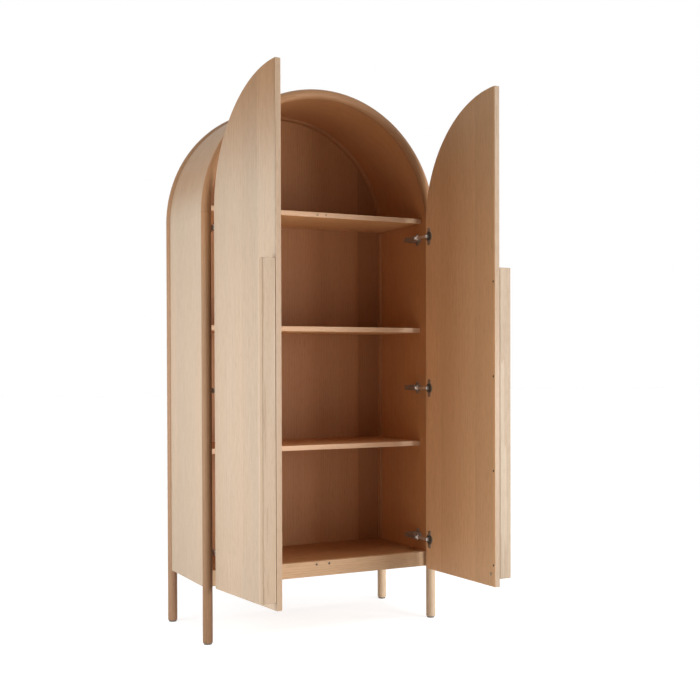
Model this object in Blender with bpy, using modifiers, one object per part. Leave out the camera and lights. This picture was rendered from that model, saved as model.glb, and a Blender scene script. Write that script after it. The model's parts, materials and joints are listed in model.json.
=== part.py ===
"""Arched two-door oak cabinet, built from its separate pieces.

Metres, +Z up, the front towards -Y. The doors stand open, as photographed, and the origin is on the floor at the middle
of the footprint they give: in the upright plane that holds both door hinge axes, a little right of mid-width.
"""

import math

import bmesh
import bpy
from mathutils import Matrix, Vector

# Fit and roundness
GAP = 0.0003  # left between pieces that touch
ARCH_STEPS = 40  # straight lengths in a half circle
SIDES = 24  # sides of a round piece
SCREW_SIDES = 14
EDGE_ROUND = 0.0012  # eased edges of the panels

# Two hoops of round timber
WIDTH = 0.914  # over the posts
DEPTH = 0.418  # over the posts
POST_DIAMETER = 0.034
SPRING_HEIGHT = 1.466  # floor to the ends of the arches
ARCH_STUB = 0.002  # straight foot of each bent arch
FOOT_CHAMFER = 0.0025
GLIDE_HEIGHT = 0.005
GLIDE_DIAMETER = 0.028

# Skin, back, bottom and shelves
CARCASS_BOTTOM = 0.192  # floor to the lower edges of the panels, rail and doors
SKIN_OUTSIDE = 0.008  # skin beyond the post centres
SKIN_INSIDE = 0.006  # skin within the post centres
BACK_THICKNESS = 0.008
BOARD_THICKNESS = 0.018  # shelves and bottom panel
RAIL_HEIGHT = 0.0535
RAIL_THICKNESS = 0.018
RAIL_CLEARANCE = 0.0035  # closed door to rail
LOWER_SHELF_TOP = 0.658
MIDDLE_SHELF_TOP = 1.0855
TOP_SHELF_RISE = 0.030  # above the spring line
SHELF_SETBACK = 0.054  # closed door to shelf
TOP_SHELF_SETBACK = 0.040

# Doors and handles
DOOR_THICKNESS = 0.020
DOOR_GAP = 0.003  # door to hoop, and door to door
DOOR_SETBACK = 0.008  # closed front face behind the hinge axes
AXIS_INSET = 0.009  # hinge axis inside the post centre
AXIS_STANDOFF = 0.001  # hinge axis in front of the post
LEFT_OPEN_DEGREES = 83.5
RIGHT_OPEN_DEGREES = 93.0
HANDLE_WIDTH = 0.019
HANDLE_DEPTH = 0.0475
HANDLE_LENGTH = 1.057
HANDLE_RISE = 0.026  # above the door's lower edge
HANDLE_ROUND = 0.004
SCREW_HEAD_RADIUS = 0.0037
SCREW_HEAD_DEPTH = 0.0022
SCREW_PROUD = 0.0004  # head above the door's inner face
SCREW_RADIUS = 0.002
SCREW_BITE = 0.012  # into the handle
SCREW_END = 0.0475  # handle's end to the first screw

# Concealed hinges
LOW_HINGE_RISE = 0.109  # above the door's lower edge
TOP_HINGE_DROP = 0.047  # below the spring line
CUP_RADIUS = 0.0175
CUP_WALL = 0.002
CUP_DEPTH = 0.0115
CUP_EDGE = 0.0045  # door edge to cup
RIM_WIDTH = 0.002
RIM_THICKNESS = 0.0015
WING_REACH = 0.032  # cup centre to the end of a flange wing
WING_WIDTH = 0.017
CHEEK_THICKNESS = 0.002
CHEEK_LENGTH = 0.011
CHEEK_RISE = 0.0065  # above the door's inner face
LINK_RISE = 0.008  # link pin behind the closed door
LINK_INSET = 0.009  # link pin inside the open door
LINK_LENGTH = 0.065
LINK_THICKNESS = 0.005
LINK_HEIGHT = 0.0094
LINK_NOSE = 0.007
NOSE_WIDTH = 0.006
KNUCKLE_RADIUS = 0.0045
SIDE_PLAY = 0.0005  # link to each ear and cheek
EAR_RADIUS = 0.005
EAR_THICKNESS = 0.0033
PIN_RADIUS = 0.0016
ARM_WIDTH = 0.017
ARM_LENGTH = 0.089
BLOCK_LENGTH = 0.052
BLOCK_HEIGHT = 0.044

# Magnetic catches
MAGNET_RADIUS = 0.004
MAGNET_DEPTH = 0.010
MAGNET_PROUD = 0.0012
CATCH_OFFSET = 0.025  # from the middle of the cabinet
CATCH_DROP = 0.011  # below the rail's top
STRIKE_RADIUS = 0.006
STRIKE_THICKNESS = 0.0012

POST_RADIUS = POST_DIAMETER / 2
HALF_WIDTH = WIDTH / 2 - POST_RADIUS
FRONT_Y = POST_RADIUS + AXIS_STANDOFF
REAR_Y = FRONT_Y + DEPTH - POST_DIAMETER
WALL_X = HALF_WIDTH - SKIN_INSIDE
SKIN_X = HALF_WIDTH + SKIN_OUTSIDE
AXIS_X = HALF_WIDTH - AXIS_INSET
DOOR_RADIUS = HALF_WIDTH - POST_RADIUS - DOOR_GAP
DOOR_BACK = DOOR_SETBACK + DOOR_THICKNESS
BACK_FRONT = REAR_Y - BACK_THICKNESS / 2
RAIL_TOP = CARCASS_BOTTOM + RAIL_HEIGHT
RAIL_FRONT = DOOR_BACK + RAIL_CLEARANCE
PIN_INSET = DOOR_BACK + LINK_INSET
PIN_Y = DOOR_BACK + LINK_RISE
LOW_HINGE_Z = CARCASS_BOTTOM + LOW_HINGE_RISE
TOP_HINGE_Z = SPRING_HEIGHT - TOP_HINGE_DROP
HINGE_LEVELS = {
    "low": LOW_HINGE_Z,
    "middle": (LOW_HINGE_Z + TOP_HINGE_Z) / 2,
    "top": TOP_HINGE_Z,
}
CATCH_Z = RAIL_TOP - CATCH_DROP

OAK = ((0.62, 0.47, 0.33), 0.5, 0.0)
OAK_VENEER = ((0.60, 0.44, 0.30), 0.5, 0.0)
NICKEL = ((0.62, 0.61, 0.58), 0.3, 1.0)
DARK_STEEL = ((0.12, 0.11, 0.10), 0.4, 1.0)
GREY_PLASTIC = ((0.35, 0.34, 0.33), 0.6, 0.0)

for old in list(bpy.data.objects):
    bpy.data.objects.remove(old, do_unlink=True)
parts = bpy.data.collections.new("arched_cabinet")
cutters = bpy.data.collections.new("cutters")
bpy.context.scene.collection.children.link(parts)
bpy.context.scene.collection.children.link(cutters)


def finish(obj, look):
    """Gives a piece its own Principled material."""
    colour, roughness, metallic = look
    material = bpy.data.materials.new(obj.name)
    material.use_nodes = True
    shader = material.node_tree.nodes["Principled BSDF"]
    shader.inputs["Base Color"].default_value = (*colour, 1)
    shader.inputs["Roughness"].default_value = roughness
    shader.inputs["Metallic"].default_value = metallic
    obj.data.materials.append(material)
    return obj


def add(name, data, parent, look):
    """Makes an object of the data: a piece when it has a look, otherwise a cutter."""
    obj = bpy.data.objects.new(name, data)
    obj.parent = parent
    if look:
        parts.objects.link(obj)
        return finish(obj, look)
    cutters.objects.link(obj)
    obj.hide_render = True
    obj.display_type = "WIRE"
    return obj


def meshed(name, bm):
    bmesh.ops.recalc_face_normals(bm, faces=bm.faces)
    mesh = bpy.data.meshes.new(name)
    bm.to_mesh(mesh)
    bm.free()
    return mesh


def box(name, low, high, look=None, parent=None):
    """A block between two opposite corners."""
    low, high = Vector(low), Vector(high)
    size = [abs(side) for side in high - low]
    bm = bmesh.new()
    bmesh.ops.create_cube(bm, size=1)
    matrix = Matrix.Translation((low + high) / 2) @ Matrix.Diagonal((*size, 1))
    bmesh.ops.transform(bm, matrix=matrix, verts=bm.verts)
    return add(name, meshed(name, bm), parent, look)


def rod(name, start, end, radius, look=None, parent=None):
    """A cylinder from one point to another."""
    start, end = Vector(start), Vector(end)
    run = end - start
    matrix = Matrix.Translation((start + end) / 2) @ run.to_track_quat("Z", "Y").to_matrix().to_4x4()
    bm = bmesh.new()
    bmesh.ops.create_cone(
        bm, cap_ends=True, segments=SIDES, radius1=radius, radius2=radius, depth=run.length, matrix=matrix
    )
    return add(name, meshed(name, bm), parent, look)


def turned(name, profile, place, tilt=0.0, look=None, parent=None, sides=SIDES):
    """A turned shape: the profile of (radius, height) runs down its outer side, and tilt lays it over about X."""
    mesh = bpy.data.meshes.new(name)
    points = [(radius, 0, height) for radius, height in profile]
    mesh.from_pydata(points, [(i, i + 1) for i in range(len(points) - 1)], [])
    obj = add(name, mesh, parent, look)
    obj.location = place
    obj.rotation_euler.x = tilt
    screw = obj.modifiers.new("turn", "SCREW")
    screw.axis = "Z"
    screw.steps = sides
    screw.render_steps = sides
    screw.use_merge_vertices = True
    screw.merge_threshold = 0.00001
    return obj


def from_curve(name, curve, matrix, look, parent):
    """The mesh of a curve, with its caps welded on and flat faces made whole."""
    guide = bpy.data.objects.new(name, curve)
    parts.objects.link(guide)
    graph = bpy.context.evaluated_depsgraph_get()
    mesh = bpy.data.meshes.new_from_object(guide.evaluated_get(graph))
    bpy.data.objects.remove(guide, do_unlink=True)
    bm = bmesh.new()
    bm.from_mesh(mesh)
    bmesh.ops.transform(bm, matrix=matrix, verts=bm.verts)
    bmesh.ops.remove_doubles(bm, verts=bm.verts, dist=0.000002)
    bmesh.ops.dissolve_limit(bm, angle_limit=0.001, verts=bm.verts, edges=bm.edges)
    return add(name, meshed(name, bm), parent, look)


def plate(name, outline, low, high, upright, look=None, parent=None):
    """A flat outline made thick: (x, z) between two y when upright, otherwise (x, y) between two z."""
    curve = bpy.data.curves.new(name, "CURVE")
    curve.dimensions = "2D"
    curve.fill_mode = "BOTH"
    curve.extrude = (high - low) / 2
    spline = curve.splines.new("POLY")
    spline.points.add(len(outline) - 1)
    spline.use_cyclic_u = True
    for point, (across, along) in zip(spline.points, outline):
        point.co = (across, along, 0, 1)
    middle = (low + high) / 2
    matrix = Matrix.Translation((0, 0, middle))
    if upright:
        matrix = Matrix.Translation((0, middle, 0)) @ Matrix.Rotation(math.pi / 2, 4, "X")
    return from_curve(name, curve, matrix, look, parent)


def tube(name, path, radius, look=None):
    """A round bar along a path of points."""
    curve = bpy.data.curves.new(name, "CURVE")
    curve.dimensions = "3D"
    curve.bevel_depth = radius
    curve.bevel_resolution = SIDES // 2 - 2
    curve.use_fill_caps = True
    spline = curve.splines.new("POLY")
    spline.points.add(len(path) - 1)
    for point, place in zip(spline.points, path):
        point.co = (*place, 1)
    return from_curve(name, curve, Matrix.Identity(4), look, None)


def ease(obj, width):
    """Rounds the square edges of a piece."""
    bevel = obj.modifiers.new("eased", "BEVEL")
    bevel.width = width
    bevel.segments = 2
    bevel.limit_method = "ANGLE"
    bevel.angle_limit = math.radians(50)


def combine(obj, operation, tools):
    """Joins the tools to a piece, or cuts them from it, all in one Boolean."""
    group = bpy.data.collections.new(f"{obj.name}_tools")
    for tool in tools:
        group.objects.link(tool)
    boolean = obj.modifiers.new("tools", "BOOLEAN")
    boolean.operation = operation
    boolean.solver = "EXACT"
    boolean.operand_type = "COLLECTION"
    boolean.collection = group


def smooth(obj):
    """Shades the round faces smooth and keeps the square edges sharp."""
    obj.data.shade_smooth()
    obj.data.set_sharp_from_angle(angle=math.radians(40))


def arc(radius, first, last):
    """Points (x, z) of the half circle over the spring line, from one arch step to a later one."""
    points = []
    for step in range(first, last + 1):
        angle = math.pi * step / ARCH_STEPS
        points.append((radius * math.cos(angle), SPRING_HEIGHT + radius * math.sin(angle)))
    return points


# Hoops: four turned posts on glides, and a bent arch across each pair
post_top = SPRING_HEIGHT - ARCH_STUB
post_foot = GLIDE_HEIGHT + GAP
post_profile = [
    (0, post_top),
    (POST_RADIUS, post_top),
    (POST_RADIUS, post_foot + FOOT_CHAMFER),
    (POST_RADIUS - FOOT_CHAMFER, post_foot),
    (0, post_foot),
]
glide_radius = GLIDE_DIAMETER / 2
glide_chamfer = GLIDE_HEIGHT / 5
glide_profile = [
    (0, GLIDE_HEIGHT),
    (glide_radius, GLIDE_HEIGHT),
    (glide_radius, glide_chamfer),
    (glide_radius - glide_chamfer, 0),
    (0, 0),
]
post_cutters = []
for row, hoop_y in (("front", FRONT_Y), ("rear", REAR_Y)):
    for hand, side in (("left", -1), ("right", 1)):
        foot = (side * HALF_WIDTH, hoop_y, 0)
        turned(f"{row}_{hand}_post", post_profile, foot, look=OAK).modifiers["turn"].use_smooth_shade = True
        turned(f"{row}_{hand}_glide", glide_profile, foot, look=GREY_PLASTIC)
        low = (side * HALF_WIDTH, hoop_y, CARCASS_BOTTOM - BOARD_THICKNESS)
        high = (side * HALF_WIDTH, hoop_y, SPRING_HEIGHT + POST_DIAMETER)
        post_cutters.append(rod(f"{row}_{hand}_post_cutter", low, high, POST_RADIUS + GAP))
    bend = [(x, hoop_y, z) for x, z in arc(HALF_WIDTH, 0, ARCH_STEPS)]
    stub = post_top + GAP
    path = [(HALF_WIDTH, hoop_y, stub), *bend, (-HALF_WIDTH, hoop_y, stub)]
    smooth(tube(f"{row}_arch", path, POST_RADIUS, look=OAK))

# Skin that fills the space between the hoops
skin_front = FRONT_Y + POST_RADIUS + GAP
skin_rear = REAR_Y - POST_RADIUS - GAP
for hand, side in (("left", -1), ("right", 1)):
    low = (side * WALL_X, skin_front, CARCASS_BOTTOM)
    high = (side * SKIN_X, skin_rear, SPRING_HEIGHT - GAP)
    box(f"{hand}_side_panel", low, high, look=OAK_VENEER)
skin = arc(SKIN_X, 0, ARCH_STEPS) + arc(WALL_X, 0, ARCH_STEPS)[::-1]
smooth(plate("arch_top_panel", skin, skin_front, skin_rear, True, look=OAK_VENEER))

# Back panel inside the rear hoop, then the bottom with its front rail, and the shelves
back_radius = HALF_WIDTH - POST_RADIUS - GAP
back = [(-back_radius, CARCASS_BOTTOM), (back_radius, CARCASS_BOTTOM), *arc(back_radius, 0, ARCH_STEPS)]
plate("back_panel", back, BACK_FRONT, BACK_FRONT + BACK_THICKNESS, True, look=OAK_VENEER)

inner_x = WALL_X - GAP
rail = box(
    "bottom_front_rail",
    (-inner_x, RAIL_FRONT, CARCASS_BOTTOM),
    (inner_x, RAIL_FRONT + RAIL_THICKNESS, RAIL_TOP),
    look=OAK,
)
ease(rail, EDGE_ROUND)
combine(rail, "DIFFERENCE", post_cutters[:2])


def board(name, front, top, half, tools):
    """A level board from its front edge to the back panel, let in round the posts."""
    low = (-half, front, top - BOARD_THICKNESS)
    piece = box(name, low, (half, BACK_FRONT - GAP, top), look=OAK_VENEER)
    ease(piece, EDGE_ROUND)
    combine(piece, "DIFFERENCE", tools)


shelf_front = DOOR_BACK + SHELF_SETBACK
board("bottom_panel", RAIL_FRONT + RAIL_THICKNESS + GAP, RAIL_TOP, inner_x, post_cutters)
board("lower_shelf", shelf_front, LOWER_SHELF_TOP, inner_x, post_cutters[2:])
board("middle_shelf", shelf_front, MIDDLE_SHELF_TOP, inner_x, post_cutters[2:])

top_shelf_top = SPRING_HEIGHT + TOP_SHELF_RISE
top_shelf_half = math.sqrt(WALL_X**2 - TOP_SHELF_RISE**2) - 2 * GAP
lean = HALF_WIDTH - math.sqrt(HALF_WIDTH**2 - TOP_SHELF_RISE**2)
notches = []
for hand, side in (("left", -1), ("right", 1)):
    low = (side * HALF_WIDTH, REAR_Y, SPRING_HEIGHT - POST_DIAMETER)
    high = (side * HALF_WIDTH, REAR_Y, top_shelf_top + POST_DIAMETER)
    notches.append(rod(f"{hand}_top_shelf_notch", low, high, POST_RADIUS + lean + GAP))
board("top_shelf", DOOR_BACK + TOP_SHELF_SETBACK, top_shelf_top, top_shelf_half, notches)

# Doors: each is built closed, in the frame of its hinge axis, and the axis holds it open
cup_inset = AXIS_X - DOOR_RADIUS + CUP_EDGE + CUP_RADIUS
rim_foot = DOOR_BACK + GAP
rim_top = rim_foot + RIM_THICKNESS
cup_inner = CUP_RADIUS - CUP_WALL
cup_profile = [
    (0, CUP_WALL),
    (cup_inner, CUP_WALL),
    (cup_inner, CUP_DEPTH + GAP + RIM_THICKNESS),
    (CUP_RADIUS + RIM_WIDTH, CUP_DEPTH + GAP + RIM_THICKNESS),
    (CUP_RADIUS + RIM_WIDTH, CUP_DEPTH + GAP),
    (CUP_RADIUS, CUP_DEPTH + GAP),
    (CUP_RADIUS, 0),
    (0, 0),
]
cheek_near = LINK_HEIGHT / 2 + SIDE_PLAY
cheek_far = cheek_near + CHEEK_THICKNESS
cheek_start = cup_inset - cup_inner + CUP_WALL / 4


def screw_profile(play):
    """A screw, head down, with the play round it that its hole needs."""
    tip = SCREW_HEAD_DEPTH / 2 + DOOR_THICKNESS + SCREW_BITE + play
    neck = SCREW_HEAD_DEPTH + play
    shank, head = SCREW_RADIUS + play, SCREW_HEAD_RADIUS + play
    face = -play * 2 - SCREW_PROUD
    return [(0, tip), (shank, tip), (shank, neck), (head, neck), (head, face), (0, face)]


def build_door(hand, side, degrees):
    """One door with its handle, screws, hinge cups and strike."""
    axis = bpy.data.objects.new(f"{hand}_door_axis", None)
    parts.objects.link(axis)
    axis.location = (side * AXIS_X, 0, 0)
    axis.rotation_euler.z = side * math.radians(degrees)

    meeting = DOOR_GAP / 2
    outline = [
        (DOOR_RADIUS, CARCASS_BOTTOM),
        *arc(DOOR_RADIUS, 0, ARCH_STEPS // 2 - 1),
        (meeting, SPRING_HEIGHT + math.sqrt(DOOR_RADIUS**2 - meeting**2)),
        (meeting, CARCASS_BOTTOM),
    ]
    outline = [(side * (x - AXIS_X), z) for x, z in outline]
    door = plate(f"{hand}_door", outline, DOOR_SETBACK, DOOR_BACK, True, OAK_VENEER, axis)
    ease(door, EDGE_ROUND)

    free = AXIS_X - meeting
    handle_foot = CARCASS_BOTTOM + HANDLE_RISE
    handle_back = DOOR_SETBACK - GAP
    handle = box(
        f"{hand}_handle",
        (-side * (free - HANDLE_WIDTH), handle_back - HANDLE_DEPTH, handle_foot),
        (-side * free, handle_back, handle_foot + HANDLE_LENGTH),
        OAK,
        axis,
    )
    ease(handle, HANDLE_ROUND)
    holes = []
    for number in range(4):
        span = HANDLE_LENGTH - 2 * SCREW_END
        place = (-side * (free - HANDLE_WIDTH / 2), DOOR_BACK, handle_foot + SCREW_END + span * number / 3)
        name = f"{hand}_handle_screw_{number + 1}"
        turned(name, screw_profile(0), place, math.pi / 2, DARK_STEEL, axis, SCREW_SIDES)
        holes.append(turned(f"{name}_hole", screw_profile(GAP), place, math.pi / 2, None, axis, SCREW_SIDES))
    combine(handle, "DIFFERENCE", holes)

    for level, z in HINGE_LEVELS.items():
        name = f"{hand}_{level}_hinge_cup"
        x = -side * cup_inset
        bore_low = (x, DOOR_BACK - CUP_DEPTH - GAP, z)
        holes.append(rod(f"{name}_bore", bore_low, (x, DOOR_BACK + CUP_DEPTH, z), CUP_RADIUS + GAP, None, axis))
        cup = turned(name, cup_profile, (x, DOOR_BACK - CUP_DEPTH, z), -math.pi / 2, NICKEL, axis)
        extras = []
        for end, up in (("lower", -1), ("upper", 1)):
            low = (x - WING_WIDTH / 2, rim_foot, z + up * (cup_inner + CUP_WALL / 2))
            high = (x + WING_WIDTH / 2, rim_top, z + up * WING_REACH)
            extras.append(box(f"{name}_{end}_wing", low, high, None, axis))
            low = (-side * cheek_start, DOOR_BACK - CUP_DEPTH + CUP_WALL / 2, z + up * cheek_near)
            high = (-side * (cheek_start + CHEEK_LENGTH), DOOR_BACK + CHEEK_RISE, z + up * cheek_far)
            extras.append(box(f"{name}_{end}_cheek", low, high, None, axis))
        combine(cup, "UNION", extras)
    combine(door, "DIFFERENCE", holes)

    low = (side * (CATCH_OFFSET - AXIS_X), rim_foot, CATCH_Z)
    rod(f"{hand}_strike", low, (low[0], rim_foot + STRIKE_THICKNESS, CATCH_Z), STRIKE_RADIUS, NICKEL, axis)


build_door("left", -1, LEFT_OPEN_DEGREES)
build_door("right", 1, RIGHT_OPEN_DEGREES)


def link_outline(side):
    """The link seen from above, its pin at the origin and its nose towards the door."""
    half = LINK_THICKNESS / 2
    opening = math.asin(half / KNUCKLE_RADIUS)
    points = []
    for step in range(SIDES - 3):
        angle = opening + (2 * math.pi - 2 * opening) * step / (SIDES - 4)
        points.append((KNUCKLE_RADIUS * math.cos(angle), KNUCKLE_RADIUS * math.sin(angle)))
    points += [
        (LINK_LENGTH - NOSE_WIDTH, -half),
        (LINK_LENGTH - NOSE_WIDTH, -LINK_NOSE),
        (LINK_LENGTH, -LINK_NOSE),
        (LINK_LENGTH, half),
    ]
    return [(-side * x, y) for x, y in points]


# Hinges on the carcass: a base with its arm, ears and pin, and the link that swings on the pin
for hand, side, degrees in (("left", -1, LEFT_OPEN_DEGREES), ("right", 1, RIGHT_OPEN_DEGREES)):
    pin_x = side * (AXIS_X - PIN_INSET)
    arm_near = PIN_Y + KNUCKLE_RADIUS + SIDE_PLAY
    arm_far = PIN_Y + ARM_LENGTH
    ear_near = LINK_HEIGHT / 2 + SIDE_PLAY
    ear_far = ear_near + EAR_THICKNESS
    outer = pin_x + side * (ARM_WIDTH - EAR_RADIUS)
    inner = pin_x - side * EAR_RADIUS
    for level, z in HINGE_LEVELS.items():
        name = f"{hand}_{level}_hinge"
        low = (side * (WALL_X - GAP), arm_far - BLOCK_LENGTH, z - BLOCK_HEIGHT / 2)
        base = box(f"{name}_base", low, (outer - side * SIDE_PLAY, arm_far, z + BLOCK_HEIGHT / 2), NICKEL)
        extras = [box(f"{name}_arm", (outer, arm_near, z - ear_far), (inner, arm_far - SIDE_PLAY, z + ear_far))]
        for end, up in (("lower", -1), ("upper", 1)):
            near, far = z + up * ear_near, z + up * ear_far
            extras.append(rod(f"{name}_{end}_ear", (pin_x, PIN_Y, near), (pin_x, PIN_Y, far), EAR_RADIUS))
            low = (pin_x - EAR_RADIUS, PIN_Y, near)
            high = (pin_x + EAR_RADIUS, arm_near + SIDE_PLAY, far)
            extras.append(box(f"{name}_{end}_neck", low, high))
        low = (pin_x, PIN_Y, z - ear_far + SIDE_PLAY)
        extras.append(rod(f"{name}_pin", low, (pin_x, PIN_Y, z + ear_far - SIDE_PLAY), PIN_RADIUS))
        combine(base, "UNION", extras)

        axis = bpy.data.objects.new(f"{name}_link_axis", None)
        parts.objects.link(axis)
        axis.location = (pin_x, PIN_Y, z)
        axis.rotation_euler.z = side * math.radians(degrees)
        half = LINK_HEIGHT / 2
        link = plate(f"{name}_link", link_outline(side), -half, half, False, NICKEL, axis)
        bore = rod(f"{name}_link_bore", (0, 0, -LINK_HEIGHT), (0, 0, LINK_HEIGHT), PIN_RADIUS + GAP, None, axis)
        combine(link, "DIFFERENCE", [bore])

# Magnets let into the rail
magnet_holes = []
for hand, side in (("left", -1), ("right", 1)):
    x = side * CATCH_OFFSET
    face = RAIL_FRONT - MAGNET_PROUD
    rod(f"{hand}_magnet", (x, face, CATCH_Z), (x, RAIL_FRONT + MAGNET_DEPTH, CATCH_Z), MAGNET_RADIUS, DARK_STEEL)
    deep = (x, RAIL_FRONT + MAGNET_DEPTH + GAP, CATCH_Z)
    near = (x, face - MAGNET_DEPTH, CATCH_Z)
    magnet_holes.append(rod(f"{hand}_magnet_hole", near, deep, MAGNET_RADIUS + GAP))
combine(rail, "DIFFERENCE", magnet_holes)

# Origin: everything moves so that it lies midway between the left posts and the nose of the open right handle
opening = math.radians(RIGHT_OPEN_DEGREES)
nose_across = AXIS_X - DOOR_GAP / 2 - HANDLE_ROUND
nose_out = HANDLE_DEPTH - DOOR_SETBACK + GAP - HANDLE_ROUND
reach = AXIS_X - nose_across * math.cos(opening) + nose_out * math.sin(opening) + HANDLE_ROUND
footprint_middle = (max(reach, WIDTH / 2) - WIDTH / 2) / 2
for obj in (*parts.objects, *cutters.objects):
    if obj.parent is None:
        obj.location.x -= footprint_middle
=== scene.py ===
"""Arched oak cabinet with both doors standing open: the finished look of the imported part."""

import json
import math

import bmesh
import bpy
import numpy as np
from mathutils import Matrix, Vector
from mathutils.geometry import delaunay_2d_cdt


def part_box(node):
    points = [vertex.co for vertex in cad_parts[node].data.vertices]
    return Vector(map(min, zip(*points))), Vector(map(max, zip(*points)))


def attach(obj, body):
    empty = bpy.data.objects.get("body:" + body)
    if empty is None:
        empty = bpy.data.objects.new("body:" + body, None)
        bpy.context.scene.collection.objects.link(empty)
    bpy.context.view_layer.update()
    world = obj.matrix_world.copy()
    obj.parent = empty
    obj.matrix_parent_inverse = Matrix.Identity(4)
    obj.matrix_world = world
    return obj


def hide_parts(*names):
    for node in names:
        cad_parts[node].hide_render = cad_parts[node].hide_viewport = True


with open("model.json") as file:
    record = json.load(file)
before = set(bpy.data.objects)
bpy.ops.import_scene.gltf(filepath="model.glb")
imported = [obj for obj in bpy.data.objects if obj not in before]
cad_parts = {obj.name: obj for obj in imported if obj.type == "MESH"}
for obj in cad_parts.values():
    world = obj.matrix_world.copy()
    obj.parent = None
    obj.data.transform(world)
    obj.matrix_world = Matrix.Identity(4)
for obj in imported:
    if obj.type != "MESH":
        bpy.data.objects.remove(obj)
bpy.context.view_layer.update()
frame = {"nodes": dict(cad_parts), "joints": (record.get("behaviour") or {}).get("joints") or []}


# Posts: four lengths of oak dowel, turned to 34 mm and sanded, with a small chamfer at the foot.
# Their tops are glued end to end to the bent arches and, under a thin matte lacquer, pass over to the arches' tone,
# which is partly painted shade.
# Painted shade: the two left posts are darker on the side that faces the doors.
TURN_STEPS = 64
FOOT_CHAMFER, FOOT_STEPS = 0.0025, 7
JOINT_EASE = 0.0004
# Painted light and shade: each post takes its own copy of the oak's tone, the left ones darker as if shaded and the
# right ones paler as if lit.
POST_LIT_AND_SHADED_TONES = {
    "front_left_post": (0.345, 0.198, 0.106),
    "front_right_post": (0.66, 0.510, 0.360),
    "rear_left_post": (0.43, 0.260, 0.155),
    "rear_right_post": (0.80, 0.620, 0.430),
}
# Painted shade for the two left posts, on the side that faces the doors.
POST_PAINTED_SHADE = {"front_left_post": (0.17, 0.080, 0.036), "rear_left_post": (0.30, 0.165, 0.090)}
SHADE_FROM, SHADE_TO = -0.010, 0.017
BLEND_FOOT, SHADED_BLEND_FOOT = 0.25, 1.10
# The arches' tones are browner than the veneer: partly the solid timber's own tone, partly painted shade on the round
# bars.
ARCH_TONES_WITH_PAINTED_SHADE = {"front": (0.41, 0.215, 0.102), "rear": (0.42, 0.240, 0.130)}
# Painted shade: the inside of the carcass takes a darker, warmer tone than the outside, and its rear inside corners a
# darker one still.
INSIDE_PAINTED_SHADE, CORNER_PAINTED_SHADE = (0.610, 0.300, 0.125), (0.430, 0.195, 0.075)
CORNER_SIDE, CORNER_DEPTH, CORNER_HEIGHT = 0.4345, (0.2, 0.3978), (0.1925, 2.0)
SATIN, MATTE = 0.5, 0.3
LINE_TINT, ROSY_TINT, PORE_TINT = (0.88, 0.845, 0.80), (1.0, 0.93, 0.87), (0.60, 0.54, 0.46)
PITH_BEHIND, PITH_SPREAD, PITH_WANDER = 0.05, 0.05, 0.05
RING_SCALE, PORE_SCALE, STREAK_SCALE, DRIFT_SCALE = 42.0, 950.0, 110.0, 7.0
PORE_STRETCH, DRIFT_STRETCH = 0.028, 0.22
SINGLE_BOARD_CHANCE = 0.37
MIDDLE = Vector(((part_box("front_left_post")[0].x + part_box("front_right_post")[1].x) / 2, 0, 0))


def node_box(name):
    """The low and high corners of a CAD node, measured from the middle of the carcass, which is MIDDLE in the part."""
    low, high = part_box(name)
    return Vector(low) - MIDDLE, Vector(high) - MIDDLE


def ring_skin(grid, caps=(True, True)):
    """A skin over a grid of points: each row is a closed ring, each ring is joined to the next by four-sided faces,
    and the first and last rings get flat caps."""
    rows, steps = grid.shape[:2]
    index = np.arange(rows * steps).reshape(rows, steps)
    ahead = np.roll(index, -1, axis=1)
    faces = np.stack([index[:-1], ahead[:-1], ahead[1:], index[1:]], axis=-1).reshape(-1, 4).tolist()
    ends = [index[0, ::-1].tolist(), index[-1].tolist()]
    return grid.reshape(-1, 3), faces + [end for end, wanted in zip(ends, caps) if wanted]


def turned(profile, steps=TURN_STEPS):
    """A turned shape about the third axis: each (radius, height) of the profile is carried once round a circle."""
    radius, height = np.asarray(profile, float).T[:, :, None]
    angle = np.linspace(0, 2 * np.pi, steps, endpoint=False)
    return np.stack([radius * np.cos(angle), radius * np.sin(angle), height + 0 * angle], axis=-1)


def fit_up(name, skins, finish, body, stands_for=(), grain=None, crisp=35):
    """One piece made of skins about the middle of the carcass: doubled points are merged, faces turned outwards, and
    edges sharper than the crisp angle stay sharp. The piece rides its body, takes its slot and stands for its nodes."""
    bm = bmesh.new()
    for points, faces in skins:
        skin = bpy.data.meshes.new(name)
        skin.from_pydata((points + np.array(MIDDLE)).tolist(), [], faces)
        if grain is not None:
            skin.attributes.new("grain", "FLOAT_VECTOR", "POINT").data.foreach_set("vector", grain.ravel())
        bm.from_mesh(skin)
        bpy.data.meshes.remove(skin)
    bmesh.ops.remove_doubles(bm, verts=bm.verts, dist=2e-6)
    bmesh.ops.recalc_face_normals(bm, faces=bm.faces)
    mesh = bpy.data.meshes.new(name)
    bm.to_mesh(mesh)
    bm.free()
    mesh.set_sharp_from_angle(angle=math.radians(crisp))
    corners = np.empty(len(mesh.polygons), np.int32)
    mesh.polygons.foreach_get("loop_total", corners)
    mesh.polygons.foreach_set("use_smooth", corners == 4)
    mesh.materials.append(finish)
    piece = bpy.data.objects.new(name, mesh)
    bpy.context.scene.collection.objects.link(piece)
    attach(piece, body)
    if stands_for:
        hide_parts(*stands_for)
    return piece


def add_node(tree, kind, feeds=(), **settings):
    """Adds a shader node; feeds fill its sockets, by a link where the value is another node's output."""
    node = tree.nodes.new("ShaderNode" + kind)
    for key, value in settings.items():
        setattr(node, key, value)
    for key, value in dict(feeds).items():
        if isinstance(value, bpy.types.NodeSocket):
            tree.links.new(value, node.inputs[key])
        else:
            node.inputs[key].default_value = value
    return node


def sum_of(tree, operation, *values):
    """The output of a Math node."""
    return add_node(tree, "Math", enumerate(values), operation=operation).outputs[0]


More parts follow.
